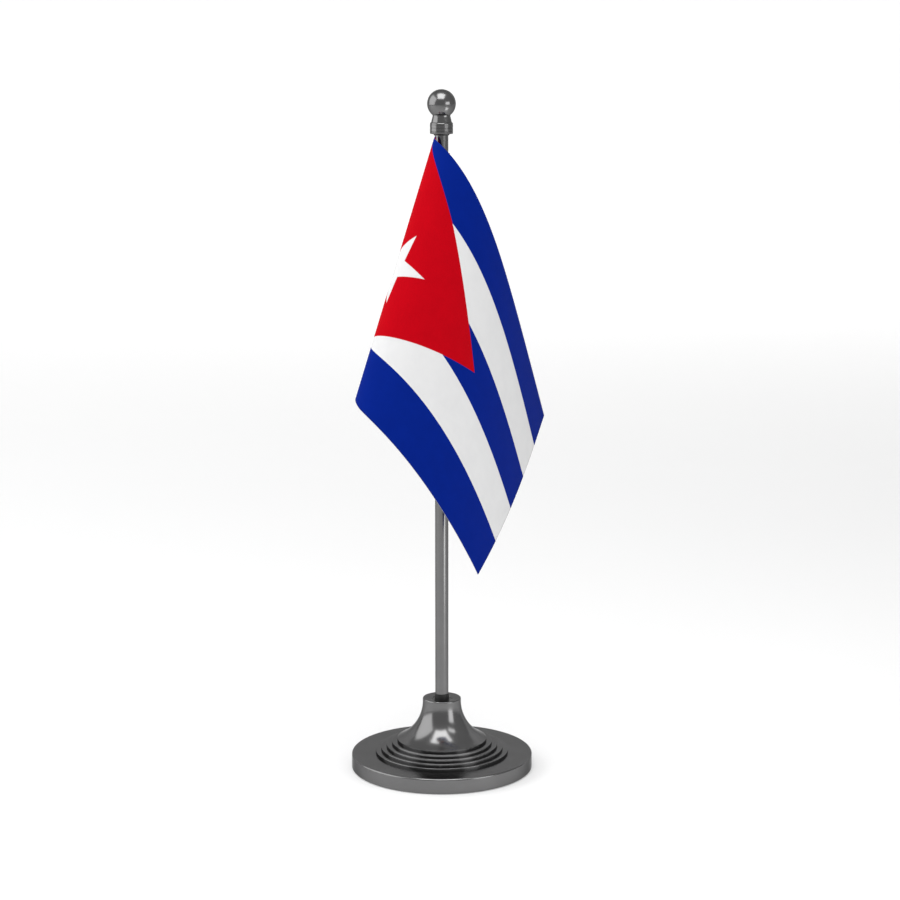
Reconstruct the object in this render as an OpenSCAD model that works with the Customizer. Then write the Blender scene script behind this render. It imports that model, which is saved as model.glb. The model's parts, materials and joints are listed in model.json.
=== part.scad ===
// Desk flag stand: a weighted round base with a flared hub, a slim pole that
// turns and lifts off its plug, a screw-on ball finial and a flag on a sleeve.
// Millimetres, +Z up. The origin is where the pole's axis meets the table.

/* [Base] */
// Diameter of the base
base_d = 106; // [100:1:150]
// Height of the flat top of the base above the table
base_h = 9; // [8.6:0.1:14]
// Thickness of the sheet metal cover
cover_wall = 1.2; // [0.8:0.1:1.4]
// Radius of the cover's rounded top edge
cover_edge_r = 1.1; // [0.5:0.1:1.1]
// Thickness of the foot pad
pad_t = 1.2; // [1:0.1:1.6]
// How far the foot pad stands below the cover
pad_proud = 0.3; // [0.3:0.1:0.9]

/* [Hub] */
// Diameter of the hub at its top
hub_d = 22.4; // [20:0.2:28]
// Height of the hub's rim above the table
hub_top_z = 42; // [40:0.5:60]
// Number of rings around the foot of the hub, the flare's own edge included
step_n = 5; // [3:1:6]
// Height of each ring
step_h = 1.7; // [1:0.05:2]
// Width of each ring
step_w = 3.2; // [2:0.1:3.4]
// Diameter of the lowest ring
step_d = 78; // [76:1:94]
// Depth of the socket in the hub
socket_depth = 25; // [18:0.5:26]

/* [Pole] */
// Outer diameter of the pole
pole_d = 7.7; // [6.6:0.1:9.2]
// Wall of the pole's tube
pole_wall = 0.8; // [0.6:0.05:0.9]
// Length of the pole
pole_len = 331; // [280:1:450]
// Length of the plug's spigot inside the pole
spigot_len = 18; // [10:1:30]
// How much wider the plug's shoulder is than the pole
plug_extra = 0.7; // [0.4:0.1:1.2]
// Height of the plug's shoulder above the hub's rim
shoulder_lift = 2.3; // [1:0.1:6]
// Wall of the bush in the socket
bush_wall = 1.5; // [1:0.1:2.2]

/* [Finial] */
// Diameter of the ball
ball_d = 16.2; // [14:0.1:20]
// Diameter of the collar
collar_d = 13; // [12:0.1:15.6]
// Height of the collar's straight part
collar_h = 5.5; // [4.8:0.1:9]
// Height of the collar's tapered shoulder
taper_h = 4; // [3.2:0.1:6]
// Diameter of the neck under the ball
neck_d = 10.1; // [8:0.1:11]
// How far the collar reaches down over the pole
collar_cover = 4.6; // [3.8:0.1:5]
// Diameter of the finial's stud
stud_d = 4; // [3:0.1:4.4]

/* [Flag] */
// Height of the flag along the pole
flag_h = 140; // [110:1:150]
// Length of the flag from the pole to its free edge
flag_w = 210; // [170:1:225]
// Thickness of the flag's solid
flag_t = 0.8; // [0.6:0.1:1.2]
// Gap between the collar and the flag's top corner
flag_drop = 1.4; // [1.2:0.1:20]
// How far the sleeve's mouth is below the flag's top corner
sleeve_drop = 9.5; // [4:0.1:14]
// Thickness of the sleeve's cloth
sleeve_t = 0.5; // [0.4:0.1:0.8]
// Direction in which the cloth leaves the pole, in degrees from +X
leave_angle = 231.4; // [200:0.1:250]
// Angle between the hoist and the first crease
crease_lean = 25.9; // [20:0.1:30]
// How much the creases fan out, in degrees per flag height
crease_fan = 30.8; // [25:0.1:38]
// How much that fanning fades towards the free edge
crease_fade = 7.4; // [5:0.1:12]

/* [Hidden] */
$fn = 96;

// Radial clearances
run_gap = 0.06;      // turning and sliding fits
seat_gap = 0.05;     // pieces that sit in each other and do not move
cloth_gap = 0.35;    // between the pole and the sleeve
weight_gap = 0.2;    // around the weight in its cover

// The drape is rolled up tightly at its first crease and ever more loosely after
// it: two bends in degrees per flag height, which both die away over a distance
// in flag heights
tight_bend = 1350;
tight_reach = 0.09;
loose_bend = 180;
loose_reach = 0.43;

// Cover, weight and foot pad
base_r = base_d / 2;
cover_top_z = base_h;
cover_bottom_z = pad_proud;
weight_r = base_r - cover_wall - weight_gap;
weight_bottom_z = pad_t;
weight_top_z = cover_top_z - cover_wall;
pad_r = weight_r - 2;

// Screw that clamps the hub, the cover and the weight together
screw_r = 2.5;
screw_hole_gap = 0.4;
screw_head_r = 4.75;
screw_head_h = 2.75;
socket_key_r = 1.73;
socket_key_depth = 1.6;
lock_washer_r = 4.6;
lock_washer_t = 0.6;
lock_washer_teeth = 12;
plain_washer_r = 7.5;
plain_washer_t = 1;
head_clear = 0.2;
screw_z = pad_t + head_clear;
lock_washer_z = screw_z + screw_head_h;
plain_washer_z = lock_washer_z + lock_washer_t;
web_z = plain_washer_z + plain_washer_t;
screw_recess_r = plain_washer_r + 1;
screw_bite = 5;

// Hub
spigot_r = 12.5;
spigot_h = cover_wall + 0.5;
hub_bottom_z = cover_top_z - spigot_h;
hub_r = hub_d / 2;
rim_r = 0.8;
dish_depth = 0.8;
edge_r = 0.3;
steps_top_z = cover_top_z + step_n * step_h;
flare_foot_r = step_d / 2 - (step_n - 1) * step_w;
flare_top_z = hub_top_z - 1.9;
flare_run = flare_foot_r - hub_r;
flare_drop = flare_top_z - steps_top_z;
flare_r = (flare_run * flare_run + flare_drop * flare_drop) / (2 * flare_run);
flare_turn = asin((flare_drop - edge_r) / flare_r);
pocket_h = 3;
pocket_in_r = spigot_r + 2;
pocket_out_r = flare_foot_r - 2;

// Socket, bush, plug and pole
pole_r = pole_d / 2;
plug_r = pole_r + plug_extra / 2;
bush_bore_r = plug_r + run_gap;
bush_r = bush_bore_r + bush_wall;
socket_r = bush_r + seat_gap;
bush_sink = 0.3;
socket_top_z = hub_top_z - dish_depth;
socket_floor_z = max(socket_top_z - socket_depth, hub_bottom_z + screw_bite + 3);
bush_top_z = socket_top_z - bush_sink;
bush_floor_t = 2;
plug_foot_gap = 0.1;
plug_bottom_z = socket_floor_z + bush_floor_t + plug_foot_gap;
shoulder_z = hub_top_z + shoulder_lift;
tube_bore_r = pole_r - pole_wall;
spigot_pole_r = tube_bore_r - run_gap;
spigot_lead = 1;
pole_top_z = shoulder_z + pole_len;
insert_len = 12;

// Finial
collar_r = collar_d / 2;
collar_z = pole_top_z - collar_cover;
collar_top_z = collar_z + collar_h;
neck_land = 0.9;
neck_r = neck_d / 2;
neck_z = collar_top_z + taper_h;
ball_seat_z = neck_z + neck_land;
ball_r = ball_d / 2;
ball_z = ball_seat_z + sqrt(ball_r * ball_r - neck_r * neck_r);
collar_bore_r = pole_r + run_gap;
collar_bore_top_z = pole_top_z + seat_gap;
groove_n = 3;
groove_z = 1.5;
groove_pitch = 1.85;
groove_depth = 0.12;
groove_w = 0.3;
stud_r = stud_d / 2;
stud_in_ball = 6;
stud_in_pole = 7;
stud_z = pole_top_z - stud_in_pole;
ring_lip_t = 0.8;
ring_lip_r = pole_r + 0.6;
ring_body_r = min(pole_r + 1.3, collar_r - 1);
ring_body_h = 2;

// Flag
flag_top_z = collar_z - flag_drop;
sleeve_bore_r = pole_r + cloth_gap;
sleeve_r = sleeve_bore_r + sleeve_t;
sleeve_top_z = flag_top_z - sleeve_drop;
sleeve_bottom_z = flag_top_z - flag_h + 1;
hoist_r = sleeve_r + 0.1;
ruling_n = 56;
fly_ruling_n = 18;

// Points of an arc in the profile plane
function arc(cx, cy, r, a0, a1, n) =
    [for (i = [0:n]) let (a = a0 + (a1 - a0) * i / n) [cx + r * cos(a), cy + r * sin(a)]];

// A straight tube between two heights
module tube(outer_r, inner_r, z0, z1) {
    translate([0, 0, z0])
        difference() {
            cylinder(r = outer_r, h = z1 - z0);
            translate([0, 0, -1]) cylinder(r = inner_r, h = z1 - z0 + 2);
        }
}

// ---- Base ----

// Pressed cover: a shallow cup, open below, with a hole for the hub's spigot
module base_cover() {
    inner_r = base_r - cover_wall;
    inner_top_z = cover_top_z - cover_wall;
    corner_x = base_r - cover_edge_r;
    corner_z = cover_top_z - cover_edge_r;
    color([0.36, 0.36, 0.37])
        rotate_extrude()
            polygon(concat(
                [[spigot_r + seat_gap, inner_top_z], [inner_r, inner_top_z]],
                [[inner_r, cover_bottom_z], [base_r, cover_bottom_z]],
                arc(corner_x, corner_z, cover_edge_r, 0, 90, 8),
                [[spigot_r + seat_gap, cover_top_z]]
            ));
}

// Cast weight that fills the cover, with a web under the hub and a recess below
module base_weight() {
    color([0.22, 0.22, 0.23])
        difference() {
            translate([0, 0, weight_bottom_z])
                cylinder(r = weight_r, h = weight_top_z - weight_bottom_z);
            translate([0, 0, weight_bottom_z - 1])
                cylinder(r = screw_recess_r, h = web_z - weight_bottom_z + 1);
            translate([0, 0, web_z - 1])
                cylinder(r = screw_r + screw_hole_gap, h = weight_top_z - web_z + 2);
            translate([0, 0, hub_bottom_z])
                cylinder(r = spigot_r + weight_gap, h = spigot_h);
        }
}

module foot_pad() {
    color([0.08, 0.08, 0.08]) cylinder(r = pad_r, h = pad_t);
}

// ---- Hub and its fastening ----

// Outline of one ring, from its foot to its rounded upper edge
function step_outline(i) =
    let (r = step_d / 2 - i * step_w, z = cover_top_z + i * step_h)
    concat([[r, z]], arc(r - edge_r, z + step_h - edge_r, edge_r, 0, 90, 3));

// Trumpet-shaped hub with a stepped foot, a socket on top and a tapped hole below
module hub() {
    color([0.36, 0.36, 0.37])
        difference() {
            rotate_extrude()
                polygon(concat(
                    [[0, hub_bottom_z], [spigot_r, hub_bottom_z], [spigot_r, cover_top_z]],
                    [for (i = [0:step_n - 2]) each step_outline(i)],
                    [[flare_foot_r, steps_top_z - step_h], [flare_foot_r, steps_top_z - edge_r / 2]],
                    arc(hub_r + flare_r, flare_top_z, flare_r, 180 + flare_turn, 180, 18),
                    arc(hub_r - rim_r, hub_top_z - rim_r, rim_r, 0, 90, 5),
                    [[socket_r + 0.2, socket_top_z], [socket_r, socket_top_z - 0.2]],
                    [[socket_r, socket_floor_z], [0, socket_floor_z]]
                ));
            tube(pocket_out_r, pocket_in_r, cover_top_z - 0.01, cover_top_z + pocket_h);
            translate([0, 0, hub_bottom_z - 1])
                cylinder(r = screw_r + seat_gap, h = screw_bite + 1.6);
        }
}

// Plastic bush pressed into the socket, closed below; the pole's plug turns in it
module socket_bush() {
    color([0.04, 0.04, 0.04])
        difference() {
            translate([0, 0, socket_floor_z])
                cylinder(r = bush_r, h = bush_top_z - socket_floor_z);
            translate([0, 0, socket_floor_z + bush_floor_t])
                cylinder(r = bush_bore_r, h = socket_depth);
        }
}

// Button-headed screw with a hexagon socket
module hub_screw() {
    head_edge_h = 1;
    shank_h = hub_bottom_z + screw_bite - lock_washer_z;
    color([0.75, 0.75, 0.76])
        difference() {
            union() {
                rotate_extrude()
                    polygon([
                        [0, screw_z], [screw_head_r * 0.6, screw_z],
                        [screw_head_r, lock_washer_z - head_edge_h],
                        [screw_head_r, lock_washer_z], [0, lock_washer_z]
                    ]);
                translate([0, 0, lock_washer_z - 0.5]) cylinder(r = screw_r, h = shank_h + 0.5);
            }
            translate([0, 0, screw_z - 1])
                cylinder(r = socket_key_r, h = socket_key_depth + 1, $fn = 6);
        }
}

// Toothed lock washer under the screw's head
module lock_washer() {
    color([0.7, 0.7, 0.7])
        difference() {
            tube(lock_washer_r, screw_r + 0.2, lock_washer_z, plain_washer_z);
            for (i = [0:lock_washer_teeth - 1])
                rotate([0, 0, i * 360 / lock_washer_teeth])
                    translate([lock_washer_r - 1, -0.4, lock_washer_z - 1])
                        cube([2, 0.8, lock_washer_t + 2]);
        }
}

module plain_washer() {
    color([0.7, 0.7, 0.7]) tube(plain_washer_r, screw_r + 0.2, plain_washer_z, web_z);
}

// ---- Pole ----

// Plastic plug: it turns in the bush, its shoulder carries the tube's lower end
module pole_plug() {
    color([0.04, 0.04, 0.04])
        union() {
            translate([0, 0, plug_bottom_z])
                cylinder(r = plug_r, h = shoulder_z - plug_bottom_z);
            translate([0, 0, shoulder_z - 0.5])
                cylinder(r = spigot_pole_r, h = spigot_len - spigot_lead + 0.5);
            translate([0, 0, shoulder_z + spigot_len - spigot_lead])
                cylinder(r1 = spigot_pole_r, r2 = spigot_pole_r - 0.6, h = spigot_lead);
        }
}

module pole_tube() {
    color([0.42, 0.42, 0.43]) tube(pole_r, tube_bore_r, shoulder_z, pole_top_z);
}

// Tapped insert pressed into the pole's upper end
module pole_insert() {
    color([0.78, 0.62, 0.3])
        tube(tube_bore_r - 0.02, stud_r + run_gap, pole_top_z - insert_len, pole_top_z);
}

// ---- Finial ----

// Plastic ring that rides up with the collar without turning
module finial_ring() {
    color([0.04, 0.04, 0.04])
        rotate_extrude()
            polygon([
                [collar_bore_r, collar_z - ring_lip_t], [ring_lip_r, collar_z - ring_lip_t],
                [ring_lip_r, collar_z], [ring_body_r, collar_z],
                [ring_body_r, collar_z + ring_body_h], [collar_bore_r, collar_z + ring_body_h]
            ]);
}

// Turned collar: a straight grip with fine grooves, a tapered shoulder and a neck
module finial_collar() {
    shoulder_round = 1;
    taper = atan2(collar_r - neck_r, taper_h);
    color([0.42, 0.42, 0.43])
        difference() {
            rotate_extrude()
                polygon(concat(
                    [[stud_r + run_gap, collar_z], [collar_r - edge_r, collar_z]],
                    [[collar_r, collar_z + edge_r]],
                    arc(collar_r - shoulder_round, collar_top_z, shoulder_round, 0, 90 - taper, 5),
                    [[neck_r, neck_z], [neck_r, ball_seat_z]],
                    [[stud_r + run_gap, ball_seat_z]]
                ));
            translate([0, 0, collar_z - 1])
                cylinder(r = collar_bore_r, h = collar_bore_top_z - collar_z + 1);
            translate([0, 0, collar_z - 1])
                cylinder(r = ring_body_r + run_gap, h = ring_body_h + run_gap + 1);
            for (i = [0:groove_n - 1])
                tube(collar_r + 1, collar_r - groove_depth,
                     collar_z + groove_z + i * groove_pitch - groove_w / 2,
                     collar_z + groove_z + i * groove_pitch + groove_w / 2);
        }
}

// Ball with a flat seat and a tapped hole
module finial_ball() {
    color([0.42, 0.42, 0.43])
        difference() {
            translate([0, 0, ball_z]) sphere(r = ball_r);
            translate([0, 0, ball_z - ball_r - 1])
                cylinder(r = ball_r, h = ball_seat_z - ball_z + ball_r + 1);
            translate([0, 0, ball_seat_z - 1])
                cylinder(r = stud_r + seat_gap, h = stud_in_ball + 1.2);
        }
}

module finial_stud() {
    color([0.75, 0.75, 0.76])
        translate([0, 0, stud_z]) cylinder(r = stud_r, h = ball_seat_z + stud_in_ball - stud_z);
}

// ---- Flag ----

module flag_sleeve() {
    color([0.05, 0.15, 0.55]) tube(sleeve_r, sleeve_bore_r, sleeve_bottom_z, sleeve_top_z);
}

// The drape is a flat sheet bent across straight creases. A crease is placed by
// s, its distance from the hoist along the sheet's middle, in flag heights.
aspect = flag_w / flag_h;
first_s = tan(crease_lean) / 2;

function lean(s) =
    let (x = s - first_s) min(crease_lean + crease_fan * x - crease_fade * x * x, 80);
function bend(s) =
    let (x = s - first_s) -tight_bend * exp(-x / tight_reach) - loose_bend * exp(-x / loose_reach);

// Where the crease ends: v runs from 0 at the top edge to 1 at the bottom edge
function end_v(s) = min(1, 0.5 + (aspect - s) / tan(lean(s)));

// The crease whose lower end has the given overshoot past the sheet's corner
function crease_at_corner(side, lo, hi, n = 24) =
    let (mid = (lo + hi) / 2, past = mid + side * tan(lean(mid)) / 2 > aspect)
    n == 0 ? mid : crease_at_corner(side, past ? lo : mid, past ? mid : hi, n - 1);

corner_s = crease_at_corner(1, first_s, aspect);
last_s = crease_at_corner(-1, aspect, aspect + 1);

crease_places = concat(
    [for (i = [0:ruling_n]) first_s + (corner_s - first_s) * pow(i / ruling_n, 1.5)],
    [for (i = [1:fly_ruling_n]) corner_s + (last_s - 0.004 - corner_s) * i / fly_ruling_n]
);

// Turns a vector about a unit axis
function turn(v, axis, a) =
    v * cos(a) + cross(axis, v) * sin(a) + axis * (axis * v) * (1 - cos(a));

function along(s, frame) = frame[0] * sin(lean(s)) + frame[1] * cos(lean(s));

// The sheet's frame at each crease: [length direction, height direction, middle point]
hoist_dir = [cos(leave_angle), sin(leave_angle), 0];
first_frame = [
    hoist_dir, [0, 0, -1],
    hoist_dir * (hoist_r + first_s * flag_h) + [0, 0, flag_top_z - flag_h / 2]
];

function next_frame(f, s0, s1) =
    let (
        mid = (s0 + s1) / 2,
        axis = along(mid, f),
        a = bend(mid) * (s1 - s0),
        u = turn(f[0], axis, a)
    )
    [u, turn(f[1], axis, a), f[2] + (f[0] + u) * flag_h * (s1 - s0) / 2];

drape_frames = [
    for (
        i = 0, f = first_frame;
        i < len(crease_places);
        f = i + 1 < len(crease_places)
            ? next_frame(f, crease_places[i], crease_places[i + 1]) : f,
        i = i + 1
    ) f
];

function on_crease(i, v) =
    let (s = crease_places[i], f = drape_frames[i])
    f[2] + along(s, f) * flag_h * (v - 0.5) / cos(lean(s));

function face_dir(i) = cross(drape_frames[i][0], drape_frames[i][1]);

// The flag: a thin closed sheet that follows the drape
module flag_cloth() {
    top_corner = hoist_dir * hoist_r + [0, 0, flag_top_z];
    low_corner = top_corner - [0, 0, flag_h];
    half = flag_t / 2;
    last = len(crease_places) - 1;
    strips = concat(
        [[top_corner, low_corner, face_dir(0)]],
        [for (i = [1:last]) [on_crease(i, 0), on_crease(i, end_v(crease_places[i])), face_dir(i)]]
    );
    points = [
        for (s = strips)
            each [s[0] + s[2] * half, s[1] + s[2] * half, s[1] - s[2] * half, s[0] - s[2] * half]
    ];
    sides = [
        for (i = [0:len(strips) - 2], k = [0:3])
            let (a = 4 * i + k, b = 4 * i + (k + 1) % 4)
            each [[a, b, b + 4], [a, b + 4, a + 4]]
    ];
    end = 4 * (len(strips) - 1);
    caps = [[0, 3, 2], [0, 2, 1], [end, end + 1, end + 2], [end, end + 2, end + 3]];
    color([0.05, 0.15, 0.55]) polyhedron(points = points, faces = concat(sides, caps));
}

base_cover();
base_weight();
foot_pad();
hub();
socket_bush();
hub_screw();
lock_washer();
plain_washer();
pole_plug();
pole_tube();
pole_insert();
finial_ring();
finial_collar();
finial_ball();
finial_stud();
flag_sleeve();
flag_cloth();
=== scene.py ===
import json
import math

import bmesh
import bpy
from mathutils import Matrix, Vector, noise


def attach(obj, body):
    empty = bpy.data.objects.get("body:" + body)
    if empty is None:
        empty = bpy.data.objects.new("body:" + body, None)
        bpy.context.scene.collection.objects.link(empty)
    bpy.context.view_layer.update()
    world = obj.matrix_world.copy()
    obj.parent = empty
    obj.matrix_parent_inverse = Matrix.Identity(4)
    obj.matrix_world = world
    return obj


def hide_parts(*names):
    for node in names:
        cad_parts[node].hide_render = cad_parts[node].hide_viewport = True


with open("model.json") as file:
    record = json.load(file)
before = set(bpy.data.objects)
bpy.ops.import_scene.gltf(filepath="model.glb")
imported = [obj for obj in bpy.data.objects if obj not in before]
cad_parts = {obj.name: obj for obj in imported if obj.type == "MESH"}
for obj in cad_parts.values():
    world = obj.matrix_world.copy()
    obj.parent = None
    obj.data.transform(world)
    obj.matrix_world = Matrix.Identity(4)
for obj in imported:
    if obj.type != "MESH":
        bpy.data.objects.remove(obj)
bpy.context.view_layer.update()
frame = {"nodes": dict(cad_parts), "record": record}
nodes = frame["nodes"]

# ---------------------------------------------------------------- sizes, mm

MM = 0.001

BASE_R = 53.0
BASE_TOP = 9.0
COVER_BOTTOM = 0.3
COVER_WALL = 1.2
COVER_EDGE = 1.1

HUB_R = 11.2
HUB_TOP = 42.0
RIM_R = 0.8
DISH = 0.8
SOCKET_R = 5.81
SOCKET_DEPTH = 24.7
SPIGOT_R = 12.5
STEP_COUNT = 5
STEP_H = 1.7
STEP_W = 3.2
STEP_R = 39.0
STEP_EDGE = 0.3

POLE_R = 3.85
POLE_BORE = 3.05
POLE_LOW = 44.3
POLE_LEN = 331.0
POLE_TOP = POLE_LOW + POLE_LEN

COLLAR_R = 6.5
COLLAR_LOW = POLE_TOP - 4.6
COLLAR_TOP = COLLAR_LOW + 5.5
TAPER_H = 4.0
NECK_R = 5.05
NECK_LAND = 0.9
COLLAR_BORE = 3.91
RING_RECESS = 2.06
RING_BODY_R = 5.21
BALL_R = 8.1
SEAT_Z = COLLAR_TOP + TAPER_H + NECK_LAND
BALL_Z = SEAT_Z + math.sqrt(BALL_R ** 2 - NECK_R ** 2)
STUD_R = 2.0
GROOVES = 3
GROOVE_Z = 1.5
GROOVE_PITCH = 1.85
GROOVE_DEPTH = 0.12
GROOVE_W = 0.3

FLAG_H = 140.0
FLAG_W = 210.0
FLAG_TOP = COLLAR_LOW - 1.4
HOIST_R = 4.8
SLEEVE_TOP = FLAG_TOP - 9.5
SLEEVE_LOW = FLAG_TOP - FLAG_H + 1


# ------------------------------------------------------------- shader maths

class Wire:
    """A shader output that can be used in arithmetic."""

    def __init__(self, paint, socket):
        self.paint = paint
        self.socket = socket

    def math(self, operation, *others):
        return self.paint.math(operation, self, *others)

    def __add__(self, other):
        return self.math("ADD", other)

    def __radd__(self, other):
        return self.math("ADD", other)

    def __sub__(self, other):
        return self.math("SUBTRACT", other)

    def __rsub__(self, other):
        return self.paint.math("SUBTRACT", other, self)

    def __mul__(self, other):
        return self.math("MULTIPLY", other)

    def __rmul__(self, other):
        return self.math("MULTIPLY", other)

    def __truediv__(self, other):
        return self.math("DIVIDE", other)

    def __mod__(self, other):
        return self.math("FLOORED_MODULO", other)

    def __abs__(self):
        return self.math("ABSOLUTE")


class Paint:
    """One material and the nodes that make its finish."""

    def __init__(self, name):
        self.material = bpy.data.materials.new(name)
        self.material.use_nodes = True
        self.tree = self.material.node_tree
        self.tree.nodes.clear()

    def add(self, kind, settings=None, values=None, output=0):
        node = self.tree.nodes.new(kind)
        for key, value in (settings or {}).items():
            setattr(node, key, value)
        for key, value in (values or {}).items():
            self.plug(node.inputs[key], value)
        return Wire(self, node.outputs[output]) if len(node.outputs) else None

    def plug(self, socket, value):
        if isinstance(value, Wire):
            self.tree.links.new(value.socket, socket)
        else:
            socket.default_value = value

    def math(self, operation, *values):
        return self.add("ShaderNodeMath", {"operation": operation}, dict(enumerate(values)))

    def parts(self, vector):
        """The x, y and z of a vector."""
        first = self.add("ShaderNodeSeparateXYZ", {}, {0: vector})
        return [Wire(self, output) for output in first.socket.node.outputs]

    def mix(self, factor, first, second):
        """Blends two colours."""
        return self.add(
            "ShaderNodeMix", {"data_type": "RGBA"}, {0: factor, 6: first, 7: second}, 2
        )

    def place(self, scale=(1, 1, 1)):
        """A point on the object in millimetres, stretched by scale."""
        point = self.add("ShaderNodeTexCoord", output="Object")
        stretch = tuple(1000 * s for s in scale)
        return self.add("ShaderNodeVectorMath", {"operation": "MULTIPLY"}, {0: point, 1: stretch})

    def noise(self, size, detail=3.0, rough=0.5, at=None, scale=(1, 1, 1)):
        """Cloudy variation from 0 to 1; size is its grain in millimetres."""
        values = {
            "Vector": at or self.place(scale), "Scale": 1.0 / size,
            "Detail": detail, "Roughness": rough,
        }
        return self.add("ShaderNodeTexNoise", {}, values)

    def cells(self, size):
        values = {"Vector": self.place(), "Scale": 1.0 / size}
        return self.add("ShaderNodeTexVoronoi", {}, values)

    def step(self, value, low, high):
        """0 below low, 1 above high, and smooth between them."""
        return self.add(
            "ShaderNodeMapRange", {"interpolation_type": "SMOOTHSTEP"},
            {"Value": value, "From Min": low, "From Max": high},
        )

    def bump(self, height, strength, distance):
        values = {"Height": height, "Strength": strength, "Distance": distance}
        return self.add("ShaderNodeBump", {}, values)

    def finish(self, **values):
        """The surface itself; keyword names are the shader's sockets."""
        names = {key.replace("_", " "): value for key, value in values.items()}
        surface = self.add("ShaderNodeBsdfPrincipled", {}, names)
        self.add("ShaderNodeOutputMaterial", {}, {"Surface": surface})
        return self.material


def grey(value, tint=(1, 1, 1)):
    return tuple(value * t for t in tint) + (1.0,)


# ---------------------------------------------------------------- materials

def polished_metal(name, turned_pitch=0.35, tone=0.16):
    """Dark nickel plate: nearly a mirror, with faint turning marks and handling haze."""
    p = Paint(name)
    haze = p.step(p.noise(22, 4, 0.6), 0.45, 0.75)
    specks = p.step(p.noise(0.9, 2), 0.70, 0.78)
    x, y, z = p.parts(p.place())
    radius = (x * x + y * y).math("SQRT")
    path = radius + z
    lines = p.noise(turned_pitch, 2, at=p.add("ShaderNodeCombineXYZ", {}, {0: path}))
    colour = p.mix(haze, grey(tone, (1, 0.995, 1)), grey(tone * 1.1, (1, 1, 1.01)))
    colour = p.mix(specks * 0.25, colour, grey(tone * 1.6))
    return p.finish(
        Base_Color=colour,
        Metallic=1.0,
        Roughness=0.19 + haze * 0.06 + specks * 0.10,
        Specular_Tint=grey(0.42),
        Normal=p.bump(lines, 0.06, 0.00002),
    )


def moulded_plastic(name):
    """Black nylon with a fine moulded grain."""
    p = Paint(name)
    grain = p.noise(0.35, 3, 0.6)
    worn = p.step(p.noise(6, 3), 0.5, 0.8)
    return p.finish(
        Base_Color=p.mix(worn, grey(0.012), grey(0.022)),
        Roughness=0.42 + grain * 0.15,
        Normal=p.bump(grain, 0.25, 0.00006),
    )


def felt(name):
    """Short black fibres pressed into a pad."""
    p = Paint(name)
    fibres = p.noise(0.25, 4, 0.7, scale=(1, 3, 1)) + p.noise(0.25, 4, 0.7, scale=(3, 1, 1))
    tufts = p.noise(2.5, 3)
    return p.finish(
        Base_Color=p.mix(tufts, grey(0.012), grey(0.035)),
        Roughness=0.92 + fibres * 0.03,
        Normal=p.bump(fibres, 0.6, 0.0003),
    )


def cast_weight(name):
    """Cast iron under a coat of black paint."""
    p = Paint(name)
    skin = p.noise(1.6, 5, 0.65)
    pits = p.step(p.cells(2.2), 0.05, 0.3)
    return p.finish(
        Base_Color=p.mix(skin, grey(0.02), grey(0.055)),
        Metallic=0.2,
        Roughness=0.55 + skin * 0.2,
        Normal=p.bump(skin * 0.6 + pits * 0.4, 0.5, 0.0003),
    )


def plated(name, colour, rough=0.28):
    """Turned and plated fastener metal, with fine tool lines and dull patches."""
    p = Paint(name)
    lines = p.noise(0.25, 2, scale=(0.2, 0.2, 4))
    patches = p.noise(3.0, 3)
    dark = tuple(c * 0.75 for c in colour) + (1.0,)
    return p.finish(
        Base_Color=p.mix(patches, dark, tuple(colour) + (1.0,)),
        Metallic=1.0,
        Roughness=rough + patches * 0.15,
        Normal=p.bump(lines, 0.2, 0.00004),
    )


BLUE = (0.0008, 0.011, 0.160)
RED = (0.370, 0.0006, 0.005)

STRIPES = 5
TRIANGLE_TIP = 0.866
STAR_AT = 0.280
STAR_R = 0.154
STAR_WAIST = 0.382
STAR_TURN = math.radians(90)


def weave(p, u, v):
    """Satin polyester: height of the crossing threads, u and v in millimetres."""
    pitch = 0.42
    warp = (u * (math.tau / pitch)).math("SINE")
    weft = (v * (math.tau / pitch)).math("SINE")
    return warp * 0.5 + weft * 0.3 + warp * weft * 0.4


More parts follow.
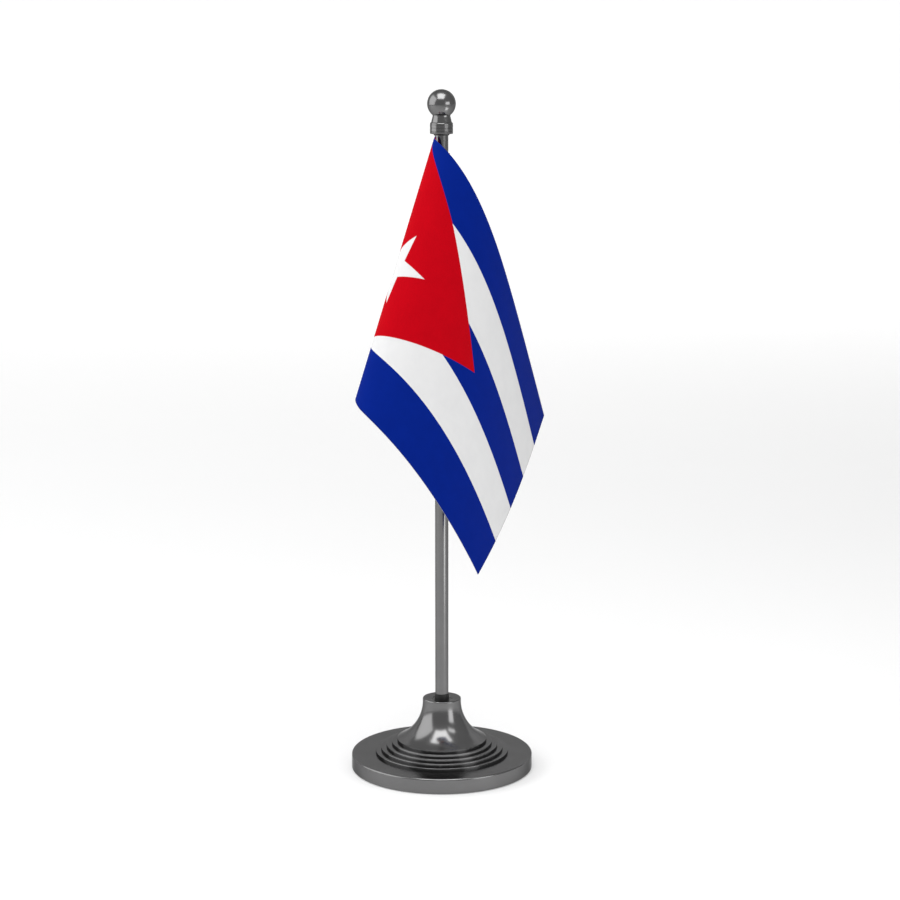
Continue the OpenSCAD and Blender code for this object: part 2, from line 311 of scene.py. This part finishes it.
def printed_cloth(name):
    """Printed satin flag: stripes, triangle and star, inside a hot-cut edge."""
    p = Paint(name)
    u, v, _ = p.parts(p.add("ShaderNodeUVMap", {"uv_map": "Cloth"}))
    bleed = (p.noise(0.8, 2) - 0.5) * 0.0012

    band = (v * STRIPES + bleed * STRIPES) % 2
    white_stripe = p.step(abs(band - 1.5), 0.505, 0.495)
    half_width = 0.5 * (1 - u / TRIANGLE_TIP)
    triangle = p.step(half_width - abs(v - 0.5) + bleed, -0.0015, 0.0015)

    du, dv = u - STAR_AT, v - 0.5
    reach = (du * du + dv * dv).math("SQRT")
    angle = dv.math("ARCTAN2", du) + (STAR_TURN + math.tau)
    from_tip = abs(((angle + math.pi / 5) % (math.tau / 5)) - math.pi / 5)
    along, across = reach * from_tip.math("COSINE"), reach * from_tip.math("SINE")
    waist_x = STAR_R * STAR_WAIST * math.cos(math.pi / 5)
    waist_y = STAR_R * STAR_WAIST * math.sin(math.pi / 5)
    edge = math.hypot(STAR_R - waist_x, waist_y)
    inside = ((STAR_R - along) * waist_y - across * (STAR_R - waist_x)) / edge
    star = p.step(inside + bleed, -0.0015, 0.0015)

    shade = p.noise(9, 4, 0.6)
    threads = p.noise(0.5, 2)
    white = p.mix(shade, grey(0.58, (1, 1, 1.01)), grey(0.64))
    blue = p.mix(shade, BLUE + (1.0,), tuple(c * 1.25 for c in BLUE) + (1.0,))
    red = p.mix(shade, RED + (1.0,), tuple(c * 1.18 for c in RED) + (1.0,))
    colour = p.mix(white_stripe, blue, white)
    colour = p.mix(triangle, colour, red)
    colour = p.mix(star, colour, white)

    # hot-cut edge: the last half millimetre is slightly darker and stiffer
    edge_v = (0.5 - abs(v - 0.5)) * FLAG_H
    edge_u = (FLAG_W / FLAG_H - u) * FLAG_H
    seal = p.step(edge_v.math("MINIMUM", edge_u), 0.7, 0.1)
    colour = p.mix(seal * 0.05, colour, grey(0.02))

    fabric = weave(p, u * FLAG_H, v * FLAG_H)
    height = fabric * 0.10 + threads * 0.15 + seal * 0.3
    return p.finish(
        Base_Color=colour,
        Roughness=0.62 + threads * 0.12,
        Specular_IOR_Level=0.02,
        Normal=p.bump(height, 0.35, 0.00025),
    )


def hem_cloth(name):
    """The flag's sleeve: the triangle's red cloth folded over, with a seam's stitches."""
    p = Paint(name)
    around, down, _ = p.parts(p.add("ShaderNodeUVMap", {"uv_map": "Cloth"}))
    shade = p.noise(7, 4, 0.6)
    threads = p.noise(0.5, 2)
    colour = p.mix(shade, RED + (1.0,), tuple(c * 1.18 for c in RED) + (1.0,))
    lane = p.step(abs(around - 1.4), 0.22, 0.12)
    stitch = lane * p.step(abs((down % 2.4) - 1.2), 0.95, 0.85)
    # the short dips between stitches, where the thread sinks into the cloth: besides being lowered,
    # their colour is darkened as painted shade of the dip
    gap_painted_shade = lane * (1 - stitch)
    colour = p.mix(stitch * 0.22, colour, grey(0.6))
    colour = p.mix(gap_painted_shade * 0.25, colour, grey(0.02))
    height = weave(p, around, down) * 0.10 + threads * 0.15 + stitch * 0.6 - gap_painted_shade * 0.5
    return p.finish(
        Base_Color=colour,
        Roughness=0.62 + threads * 0.12,
        Specular_IOR_Level=0.02,
        Normal=p.bump(height, 0.35, 0.00025),
    )


MATERIALS = {
    "polished_base": polished_metal("polished_base", 0.30),
    "polished_hub": polished_metal("polished_hub", 0.26),
    "polished_pole": polished_metal("polished_pole", 0.8),
    "polished_finial": polished_metal("polished_finial", 0.2),
    "polished_ball": polished_metal("polished_ball", 0.2),
    "black_plastic": moulded_plastic("black_plastic"),
    "pad": felt("pad"),
    "weight": cast_weight("weight"),
    "plated_steel": plated("plated_steel", (0.62, 0.62, 0.63)),
    "insert_brass": plated("insert_brass", (0.72, 0.52, 0.22)),
    "flag_print": printed_cloth("flag_print"),
    "flag_hem": hem_cloth("flag_hem"),
}

for subpart in frame["record"]["subparts"]:
    mesh = nodes[subpart["node"]].data
    mesh.materials.clear()
    mesh.materials.append(MATERIALS[subpart["material_slot"]])


# ------------------------------------------------------------- mesh helpers

TURNED_SHARP = 28


def make_object(name, mesh, body, slot, replaced):
    """Puts a finished mesh in the scene, on its body and in its node's place."""
    mesh.materials.append(MATERIALS[slot])
    obj = bpy.data.objects.new(name, mesh)
    bpy.context.scene.collection.objects.link(obj)
    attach(obj, body)
    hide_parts(replaced)
    return obj


def arc(cx, cz, r, a0, a1, count):
    """Points of an arc in the profile plane, angles in radians."""
    steps = [a0 + (a1 - a0) * i / count for i in range(count + 1)]
    return [(cx + r * math.cos(a), cz + r * math.sin(a)) for a in steps]


def corner(r, z, size, a0, count=5):
    """A quarter-round edge whose sharp corner would be at (r, z); a0 is in degrees."""
    a0 = math.radians(a0)
    mid = a0 + math.pi / 4
    cx = r - math.copysign(size, math.cos(mid))
    cz = z - math.copysign(size, math.sin(mid))
    return arc(cx, cz, size, a0, a0 + math.pi / 2, count)


def turned(name, profile, body, slot, replaced, around):
    """A closed profile in (radius, height) millimetres turned about the pole's axis."""
    bm = bmesh.new()
    rings = []
    for r, z in profile:
        if r < 1e-6:
            rings.append([bm.verts.new((0, 0, z * MM))])
            continue
        ring = []
        for k in range(around):
            a = math.tau * k / around
            ring.append(bm.verts.new((r * math.cos(a) * MM, r * math.sin(a) * MM, z * MM)))
        rings.append(ring)
    for i, low in enumerate(rings):
        high = rings[(i + 1) % len(rings)]
        if len(low) == 1 and len(high) == 1:
            continue
        for k in range(around):
            n = (k + 1) % around
            if len(low) == 1:
                bm.faces.new((low[0], high[n], high[k]))
            elif len(high) == 1:
                bm.faces.new((low[k], low[n], high[0]))
            else:
                bm.faces.new((low[k], low[n], high[n], high[k]))
    bmesh.ops.recalc_face_normals(bm, faces=bm.faces)
    mesh = bpy.data.meshes.new(name)
    bm.to_mesh(mesh)
    bm.free()
    mesh.shade_smooth()
    mesh.set_sharp_from_angle(angle=math.radians(TURNED_SHARP))
    return make_object(name, mesh, body, slot, replaced)


# -------------------------------------------------------------- metal parts

def base_cover_profile():
    inner_r = BASE_R - COVER_WALL
    inner_top = BASE_TOP - COVER_WALL
    hole_r = SPIGOT_R + 0.05
    return (
        [(hole_r, inner_top), (inner_r, inner_top), (inner_r, COVER_BOTTOM + 0.2)]
        + [(inner_r + 0.2, COVER_BOTTOM), (BASE_R - 0.3, COVER_BOTTOM), (BASE_R, COVER_BOTTOM + 0.3)]
        + corner(BASE_R, BASE_TOP, COVER_EDGE, 0, 10)
        + [(hole_r, BASE_TOP)]
    )


def hub_profile():
    low = BASE_TOP - COVER_WALL - 0.5
    points = [(0, low), (SPIGOT_R, low), (SPIGOT_R, BASE_TOP)]
    for i in range(STEP_COUNT - 1):
        r = STEP_R - i * STEP_W
        z = BASE_TOP + i * STEP_H
        points += [(r, z)] + corner(r, z + STEP_H, STEP_EDGE, 0, 4)
    foot_r = STEP_R - (STEP_COUNT - 1) * STEP_W
    foot_z = BASE_TOP + STEP_COUNT * STEP_H
    flare_top = HUB_TOP - 1.9
    run, drop = foot_r - HUB_R, flare_top - foot_z
    flare_r = (run * run + drop * drop) / (2 * run)
    turn = math.asin((drop - STEP_EDGE) / flare_r)
    points += [(foot_r, foot_z - STEP_H), (foot_r, foot_z - STEP_EDGE / 2)]
    points += arc(HUB_R + flare_r, flare_top, flare_r, math.pi + turn, math.pi, 44)
    points += corner(HUB_R, HUB_TOP, RIM_R, 0, 8)
    dish = HUB_TOP - DISH
    points += [(SOCKET_R + 0.2, dish), (SOCKET_R, dish - 0.2)]
    points += [(SOCKET_R, dish - SOCKET_DEPTH), (0, dish - SOCKET_DEPTH)]
    return points


def pole_profile():
    bevel = 0.15
    return [
        (POLE_BORE, POLE_LOW + bevel), (POLE_BORE + bevel, POLE_LOW),
        (POLE_R - bevel, POLE_LOW), (POLE_R, POLE_LOW + bevel),
        (POLE_R, POLE_TOP - bevel), (POLE_R - bevel, POLE_TOP),
        (POLE_BORE + bevel, POLE_TOP), (POLE_BORE, POLE_TOP - bevel),
    ]


def collar_profile():
    points = [(STUD_R + 0.06, POLE_TOP + 0.05), (COLLAR_BORE, POLE_TOP + 0.05)]
    points += [(COLLAR_BORE, COLLAR_LOW + RING_RECESS), (RING_BODY_R, COLLAR_LOW + RING_RECESS)]
    points += [(RING_BODY_R, COLLAR_LOW)]
    points += corner(COLLAR_R, COLLAR_LOW, 0.3, -90, 4)
    for i in range(GROOVES):
        z = COLLAR_LOW + GROOVE_Z + i * GROOVE_PITCH
        points += [
            (COLLAR_R, z - GROOVE_W / 2), (COLLAR_R - GROOVE_DEPTH, z - GROOVE_W / 4),
            (COLLAR_R - GROOVE_DEPTH, z + GROOVE_W / 4), (COLLAR_R, z + GROOVE_W / 2),
        ]
    taper = math.atan2(COLLAR_R - NECK_R, TAPER_H)
    points += arc(COLLAR_R - 1, COLLAR_TOP, 1, 0, math.pi / 2 - taper, 8)
    points += [(NECK_R + 0.02, SEAT_Z - NECK_LAND), (NECK_R, SEAT_Z - NECK_LAND + 0.1)]
    points += [(NECK_R, SEAT_Z), (STUD_R + 0.06, SEAT_Z)]
    return points


def ball_profile():
    start = -math.acos(NECK_R / BALL_R)
    points = [(0, SEAT_Z + 6.2), (STUD_R + 0.05, SEAT_Z + 6.2), (STUD_R + 0.05, SEAT_Z)]
    return points + arc(0, BALL_Z, BALL_R, start, math.pi / 2, 48)[:-1] + [(0, BALL_Z + BALL_R)]


turned("base_cover_polished", base_cover_profile(), "base", "polished_base", "base_cover", 192)
turned("hub_polished", hub_profile(), "base", "polished_hub", "hub", 160)
turned("pole_tube_polished", pole_profile(), "pole", "polished_pole", "pole_tube", 64)
turned("finial_collar_polished", collar_profile(), "finial", "polished_finial", "finial_collar", 96)
turned("finial_ball_polished", ball_profile(), "finial", "polished_ball", "finial_ball", 96)


# --------------------------------------------------------------- flag drape

ASPECT = FLAG_W / FLAG_H
LEAVE = math.radians(231.4)
CREASE_LEAN = 25.9
CREASE_FAN = 30.8
CREASE_FADE = 7.4
TIGHT_BEND, TIGHT_REACH = 1350, 0.09
LOOSE_BEND, LOOSE_REACH = 180, 0.43
FIRST_S = math.tan(math.radians(CREASE_LEAN)) / 2
LAST_S = 2.6
CREASE_STEPS = 1800


def lean(s):
    """Angle between a crease and the hoist, in radians."""
    x = max(s - FIRST_S, 0.0)
    return math.radians(min(CREASE_LEAN + CREASE_FAN * x - CREASE_FADE * x * x, 80))


def bend(s):
    """Bend across the creases, in radians per flag height."""
    x = s - FIRST_S
    tight = TIGHT_BEND * math.exp(-x / TIGHT_REACH)
    loose = LOOSE_BEND * math.exp(-x / LOOSE_REACH)
    return -math.radians(tight + loose)


def rolled_creases():
    """The sheet's frame at closely spaced creases from the first one on."""
    length = Vector((math.cos(LEAVE), math.sin(LEAVE), 0))
    height = Vector((0, 0, -1))
    middle = length * (HOIST_R + FIRST_S * FLAG_H) + Vector((0, 0, FLAG_TOP - FLAG_H / 2))
    step = (LAST_S - FIRST_S) / CREASE_STEPS
    frames = [(length.copy(), height.copy(), middle.copy())]
    for i in range(CREASE_STEPS):
        s = FIRST_S + (i + 0.5) * step
        axis = length * math.sin(lean(s)) + height * math.cos(lean(s))
        turn = Matrix.Rotation(bend(s) * step, 3, axis)
        turned_length = turn @ length
        middle = middle + (length + turned_length) * (FLAG_H * step / 2)
        length, height = turned_length, turn @ height
        frames.append((length.copy(), height.copy(), middle.copy()))
    return frames, step


CREASES, CREASE_STEP = rolled_creases()


def crease_through(u, v):
    """The crease that passes through a point of the flat sheet."""
    low, high = -1.0, LAST_S
    for _ in range(40):
        s = (low + high) / 2
        if s + (v - 0.5) * math.tan(lean(s)) < u:
            low = s
        else:
            high = s
    return (low + high) / 2


def on_sheet(u, v):
    """(place in millimetres, facing) of a point of the flat sheet, u and v in heights."""
    s = crease_through(u, v)
    if s <= FIRST_S:
        length, height, middle = CREASES[0]
        place = middle + length * ((u - FIRST_S) * FLAG_H) + height * ((v - 0.5) * FLAG_H)
        return place, length.cross(height)
    at = min((s - FIRST_S) / CREASE_STEP, CREASE_STEPS - 1e-6)
    i = int(at)
    part = at - i
    length = CREASES[i][0].lerp(CREASES[i + 1][0], part)
    height = CREASES[i][1].lerp(CREASES[i + 1][1], part)
    middle = CREASES[i][2].lerp(CREASES[i + 1][2], part)
    angle = lean(s)
    axis = length * math.sin(angle) + height * math.cos(angle)
    return middle + axis * (FLAG_H * (v - 0.5) / math.cos(angle)), length.cross(height).normalized()


CLOTH_HALF = 0.10
CLOTH_COLUMNS = 168
CLOTH_ROWS = 112
# how far the top edge, the bottom edge and the fold's low corner are drawn, in heights
TOP_DRAW = 0.034
LOW_DRAW = 0.016
FOLD_LIFT = 0.018
# the share of the height, from each edge, over which the draw fades out
DRAWN_BAND = 0.2


def arch(u, start, end):
    """0 outside start and end, and a smooth hump between them."""
    return math.sin(math.pi * min(max((u - start) / (end - start), 0.0), 1.0))


def drawn(u, v):
    """Where the weight of the hanging cloth has drawn a point across the sheet, in heights."""
    top = max(0.0, 1 - v / DRAWN_BAND) * arch(u, 0.0, ASPECT) * TOP_DRAW
    sag = arch(u, 0.5, ASPECT) * LOW_DRAW - arch(u, 0.1, 0.6) * FOLD_LIFT
    low = max(0.0, 1 - (1 - v) / DRAWN_BAND) * sag
    return v + top + low


def cloth_face(bm, *corners):
    """A face between (vertex, cloth place) corners."""
    made = bm.faces.new([vert for vert, _ in corners])
    layer = bm.loops.layers.uv["Cloth"]
    for loop, (_, place) in zip(made.loops, corners):
        loop[layer].uv = place


def cloth_mesh(bm, name):
    bmesh.ops.recalc_face_normals(bm, faces=bm.faces)
    mesh = bpy.data.meshes.new(name)
    bm.to_mesh(mesh)
    bm.free()
    mesh.shade_smooth()
    return mesh


def flag_cloth():
    """The sheet in its drape: two faces of cloth and the cut edge between them."""
    bm = bmesh.new()
    bm.loops.layers.uv.new("Cloth")
    front, back = [], []
    for i in range(CLOTH_COLUMNS + 1):
        u = ASPECT * i / CLOTH_COLUMNS
        front.append([])
        back.append([])
        for j in range(CLOTH_ROWS + 1):
            v = j / CLOTH_ROWS
            place, facing = on_sheet(u, drawn(u, v))
            for sheet, half in ((front, CLOTH_HALF), (back, -CLOTH_HALF)):
                sheet[i].append((bm.verts.new((place + facing * half) * MM), (u, v)))

    def face(*corners):
        cloth_face(bm, *corners)

    last_x, last_y = CLOTH_COLUMNS, CLOTH_ROWS
    for i in range(last_x):
        for j in range(last_y):
            face(front[i][j], front[i + 1][j], front[i + 1][j + 1], front[i][j + 1])
            face(back[i][j], back[i][j + 1], back[i + 1][j + 1], back[i + 1][j])
        face(front[i][0], back[i][0], back[i + 1][0], front[i + 1][0])
        face(front[i][last_y], front[i + 1][last_y], back[i + 1][last_y], back[i][last_y])
    for j in range(last_y):
        face(front[0][j], front[0][j + 1], back[0][j + 1], back[0][j])
        face(front[last_x][j], back[last_x][j], back[last_x][j + 1], front[last_x][j + 1])
    mesh = cloth_mesh(bm, "flag_cloth_draped")
    return make_object("flag_cloth_draped", mesh, "flag", "flag_print", "flag_cloth")


SLEEVE_BORE = 4.25
SLEEVE_WALL = 0.4
SEAM_OUT = 6.2
SEAM_IN = SEAM_OUT - 0.7
SEAM_HALF_OUT = 0.15
SEAM_HALF_IN = 0.02
SLEEVE_ROWS = 90
SLEEVE_STEPS = 40


def drop_shape(r, tip, half):
    """A circle around the pole that runs out to a narrow tip at the seam."""
    touch = math.acos(r / tip)
    points = [(tip, half)]
    for k in range(SLEEVE_STEPS + 1):
        a = touch + (math.tau - 2 * touch) * k / SLEEVE_STEPS
        points.append((r * math.cos(a), r * math.sin(a)))
    return points + [(tip, -half)]


def flag_sleeve():
    """The tunnel of cloth around the pole, closed by a seam where the flag leaves it."""
    away = Vector((math.cos(LEAVE), math.sin(LEAVE), 0))
    side = Vector((-away.y, away.x, 0))
    shapes = [
        drop_shape(SLEEVE_BORE + SLEEVE_WALL, SEAM_OUT, SEAM_HALF_OUT),
        drop_shape(SLEEVE_BORE, SEAM_IN, SEAM_HALF_IN),
    ]
    bm = bmesh.new()
    bm.loops.layers.uv.new("Cloth")
    layers = []
    for r in range(SLEEVE_ROWS + 1):
        z = SLEEVE_LOW + (SLEEVE_TOP - SLEEVE_LOW) * r / SLEEVE_ROWS
        ring = []
        for shape in shapes:
            line = []
            travel = 0.0
            before = shape[0]
            for x, y in shape:
                travel += math.hypot(x - before[0], y - before[1])
                before = (x, y)
                slack = 1 + 0.006 * noise.noise(Vector((x * 0.3, y * 0.3, z * 0.12)))
                place = away * (x * slack) + side * (y * slack) + Vector((0, 0, z))
                line.append((bm.verts.new(place * MM), (travel, z)))
            ring.append(line)
        layers.append(ring)

    count = len(shapes[0])
    following = [(k, (k + 1) % count) for k in range(count)]
    for r in range(SLEEVE_ROWS):
        for low, high in zip(layers[r], layers[r + 1]):
            for k, n in following:
                cloth_face(bm, low[k], low[n], high[n], high[k])
    for outer, inner in (layers[0], layers[-1]):
        for k, n in following:
            cloth_face(bm, outer[k], outer[n], inner[n], inner[k])
    mesh = cloth_mesh(bm, "flag_sleeve_sewn")
    mesh.set_sharp_from_angle(angle=math.radians(50))
    return make_object("flag_sleeve_sewn", mesh, "flag", "flag_hem", "flag_sleeve")


sleeve = flag_sleeve()
cloth = flag_cloth()


# -------------------------------------------------------- floor, light, view

# how much the pale floor glows by itself near the front and at the back
FLOOR_GLOW = 0.20
BACK_GLOW = 0.55
GLOW_FROM, GLOW_TO = 300, 2600


def studio_sweep():
    """A pale floor that curves up into a backdrop behind the stand."""
    half, front, low, bend_at, bend_r, top = 4.0, -3.0, -0.0002, 2.2, 1.2, 3.5
    bend_steps = 16
    line = [(front, low), (bend_at, low)]
    for i in range(1, bend_steps + 1):
        a = math.pi / 2 * i / bend_steps
        line.append((bend_at + bend_r * math.sin(a), low + bend_r * (1 - math.cos(a))))
    line.append((bend_at + bend_r, top))
    verts = [(x, y, z) for y, z in line for x in (-half, half)]
    faces = [(2 * i, 2 * i + 1, 2 * i + 3, 2 * i + 2) for i in range(len(line) - 1)]
    mesh = bpy.data.meshes.new("studio_sweep")
    mesh.from_pydata(verts, [], faces)
    mesh.shade_smooth()
    p = Paint("studio_sweep")
    mottle = p.noise(300, 2)
    _, depth, _ = p.parts(p.place())
    mesh.materials.append(p.finish(
        Base_Color=p.mix(mottle, grey(0.66), grey(0.65)),
        Roughness=0.7,
        Emission_Color=p.mix(p.step(depth, GLOW_FROM, GLOW_TO), grey(FLOOR_GLOW), grey(BACK_GLOW)),
        Emission_Strength=1.0,
    ))
    obj = bpy.data.objects.new("studio_sweep", mesh)
    bpy.context.scene.collection.objects.link(obj)


studio_sweep()


def soft_light(name, place, aim, width, height, power):
    """A soft box: place and aim in metres, width and height in metres, power in watts."""
    data = bpy.data.lights.new(name, "AREA")
    data.shape = "RECTANGLE"
    data.size = width
    data.size_y = height
    data.energy = power
    obj = bpy.data.objects.new(name, data)
    obj.location = place
    direction = Vector(aim) - Vector(place)
    obj.rotation_euler = direction.to_track_quat("-Z", "Y").to_euler()
    bpy.context.scene.collection.objects.link(obj)


soft_light("key_left", (-1.50, -0.10, 0.90), (0, 0, 0.25), 2.0, 1.6, 20)
soft_light("side_right_low", (0.285, -0.235, 0.11), (0, 0, 0.11), 0.16, 0.20, 0.28)
soft_light("side_right_high", (0.285, -0.235, 0.42), (0, 0, 0.42), 0.22, 0.12, 0.26)
soft_light("overhead", (-0.05, -0.52, 1.5), (0, -0.12, 0.2), 1.1, 1.1, 17)

WORLD_STRENGTH = 0.48

world = bpy.data.worlds.new("studio")
world.use_nodes = True
background = world.node_tree.nodes["Background"].inputs
background["Color"].default_value = (1, 1, 1, 1)
background["Strength"].default_value = WORLD_STRENGTH
bpy.context.scene.world = world

HALF_VIEW = 10.4086
TILT = 79.205

camera = bpy.data.cameras.new("camera")
camera.angle = 2 * math.radians(HALF_VIEW)
camera.clip_start = 0.01
eye = bpy.data.objects.new("camera", camera)
eye.location = (0.004779, -1.3865, 0.4540)
eye.rotation_euler = (math.radians(TILT), 0, 0)
bpy.context.scene.collection.objects.link(eye)
bpy.context.scene.camera = eye
bpy.context.scene.view_settings.view_transform = "Standard"

bpy.context.view_layer.update()
